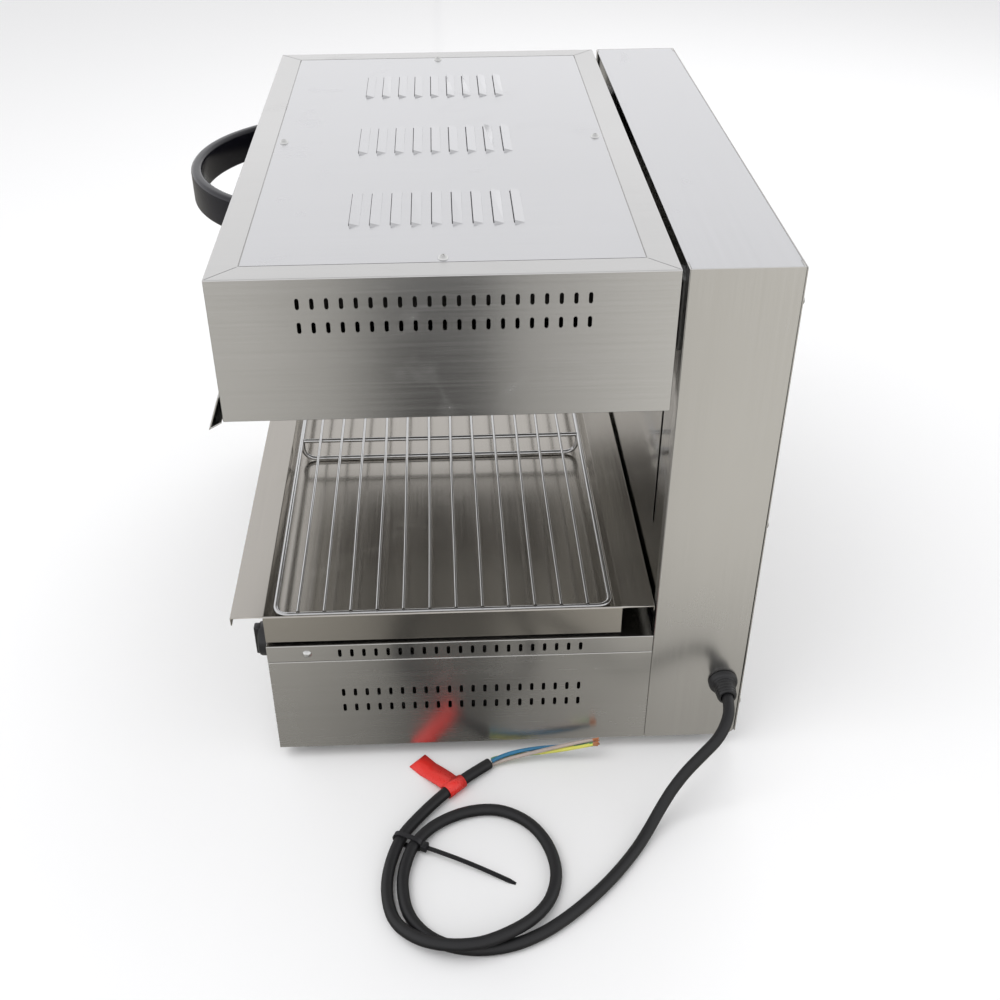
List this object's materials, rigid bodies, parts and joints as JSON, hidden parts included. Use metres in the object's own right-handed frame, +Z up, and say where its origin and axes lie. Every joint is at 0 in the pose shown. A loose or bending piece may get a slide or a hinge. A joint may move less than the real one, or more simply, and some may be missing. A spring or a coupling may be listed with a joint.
{
  "type": "salamander grill",
  "caption": "Countertop lift-up salamander grill: a heating hood with an arched handle rides on a rear column above a drip tray and wire rack, with a supply cord.",
  "frame": {"origin": "on the floor under the middle of the body, handle and rear screws included, the supply cord left out", "axes": "+Z up, -Y towards the front, where the handle and the knobs are, +X towards the side the supply cord leaves"},
  "size_m": [0.8305, 0.503, 0.5024],
  "materials": {
    "body_steel": "satin brushed stainless sheet",
    "tray_steel": "polished stainless pan",
    "reflector_steel": "bright stainless liner",
    "rack_chrome": "chromed wire",
    "rod_chrome": "ground and chromed",
    "shaft_steel": "bright drawn steel",
    "zinc_steel": "zinc plated",
    "chain_steel": "oiled roller chain",
    "cast_weight": "rough cast",
    "element_sheath": "heat-darkened sheath",
    "insulation_wool": "mineral wool blanket",
    "regulator_body": "moulded housing",
    "terminal_body": "moulded block",
    "tray_rest": "dark rest strip",
    "black_plastic": "smooth black moulding",
    "gland_nylon": "moulded nylon",
    "lamp_red": "tinted lens",
    "lamp_green": "tinted lens",
    "foot_rubber": "moulded rubber",
    "cord_rubber": "smooth rubber sheath",
    "flag_vinyl": "blank red label",
    "core_blue": "core insulation",
    "core_earth": "striped core insulation",
    "core_brown": "core insulation"
  },
  "bodies": {
    "base": {"base_side_left": "body_steel", "base_side_right": "body_steel", "base_top_cover": "body_steel", "base_front_panel": "body_steel", "chassis_floor": "zinc_steel", "foot_front_right": "foot_rubber", "foot_front_left": "foot_rubber", "foot_rear_right": "foot_rubber", "foot_rear_left": "foot_rubber", "tray_rest_frame": "tray_rest", "heat_regulator_left": "regulator_body", "heat_regulator_right": "regulator_body", "indicator_lamp_left": "lamp_green", "indicator_lamp_right": "lamp_red", "column_side_left": "body_steel", "column_side_right": "body_steel", "column_top_cover": "body_steel", "column_front_panel": "body_steel", "column_rear_cover": "body_steel", "guide_rod_left": "rod_chrome", "guide_rod_right": "rod_chrome", "shaft_bracket_left": "zinc_steel", "shaft_bracket_right": "zinc_steel", "lift_chain_left": "chain_steel", "lift_chain_right": "chain_steel", "idler_axle": "shaft_steel", "terminal_block": "terminal_body", "cable_gland": "gland_nylon", "power_cord": "cord_rubber", "cord_tie": "black_plastic", "cord_flag": "flag_vinyl", "conductor_blue": "core_blue", "conductor_earth": "core_earth", "conductor_brown": "core_brown"},
    "hood": {"hood_skirt": "body_steel", "hood_top_panel": "body_steel", "heat_reflector": "reflector_steel", "insulation_blanket": "insulation_wool", "heating_element_left": "element_sheath", "heating_element_right": "element_sheath", "element_support_left": "zinc_steel", "element_support_right": "zinc_steel", "hood_deflector": "body_steel", "hood_handle": "black_plastic", "lift_carriage_left": "zinc_steel", "lift_carriage_right": "zinc_steel"},
    "lift_shaft": {"lift_shaft": "shaft_steel", "sprocket_left": "zinc_steel", "sprocket_right": "zinc_steel"},
    "idler_left": {"chain_idler_left": "zinc_steel"},
    "idler_right": {"chain_idler_right": "zinc_steel"},
    "counterweight": {"counterweight": "cast_weight"},
    "tray": {"drip_tray": "tray_steel"},
    "rack": {"wire_rack": "rack_chrome", "rack_brace_left": "rack_chrome", "rack_brace_middle": "rack_chrome", "rack_brace_right": "rack_chrome"},
    "knob_left": {"knob_left": "black_plastic"},
    "knob_right": {"knob_right": "black_plastic"}
  },
  "joints": [
    {"name": "hood_lift", "type": "slide", "parent": "base", "child": "hood", "axis": [0, 0, 1], "range_m": [-0.18, 0]},
    {"name": "counterweight_travel", "type": "slide", "parent": "base", "child": "counterweight", "axis": [0, 0, 1], "range_m": [-0.001, 0.181]},
    {"name": "lift_shaft_turn", "type": "hinge", "parent": "base", "child": "lift_shaft", "pos_m": [0, 0.19955, 0.451], "axis": [1, 0, 0], "range_deg": [-2, 656]},
    {"name": "idler_left_turn", "type": "hinge", "parent": "base", "child": "idler_left", "pos_m": [-0.205, 0.19955, 0.06], "axis": [1, 0, 0], "range_deg": [-2, 656]},
    {"name": "idler_right_turn", "type": "hinge", "parent": "base", "child": "idler_right", "pos_m": [0.205, 0.19955, 0.06], "axis": [1, 0, 0], "range_deg": [-2, 656]},
    {"name": "tray_slide", "type": "slide", "parent": "base", "child": "tray", "axis": [0, -1, 0], "range_m": [0, 0.25]},
    {"name": "rack_lift", "type": "slide", "parent": "tray", "child": "rack", "axis": [0, 0, 1], "range_m": [0, 0.05]},
    {"name": "knob_left_turn", "type": "hinge", "parent": "base", "child": "knob_left", "pos_m": [-0.215, -0.18815, 0.08], "axis": [0, 1, 0], "range_deg": [0, 270]},
    {"name": "knob_right_turn", "type": "hinge", "parent": "base", "child": "knob_right", "pos_m": [0.215, -0.18815, 0.08], "axis": [0, 1, 0], "range_deg": [0, 270]}
  ],
  "couplings": [
    {"joint": "counterweight_travel", "follows": "hood_lift", "ratio": -1},
    {"joint": "lift_shaft_turn", "follows": "hood_lift", "rad_per_m": -63.29},
    {"joint": "idler_left_turn", "follows": "hood_lift", "rad_per_m": -63.29},
    {"joint": "idler_right_turn", "follows": "hood_lift", "rad_per_m": -63.29}
  ]
}
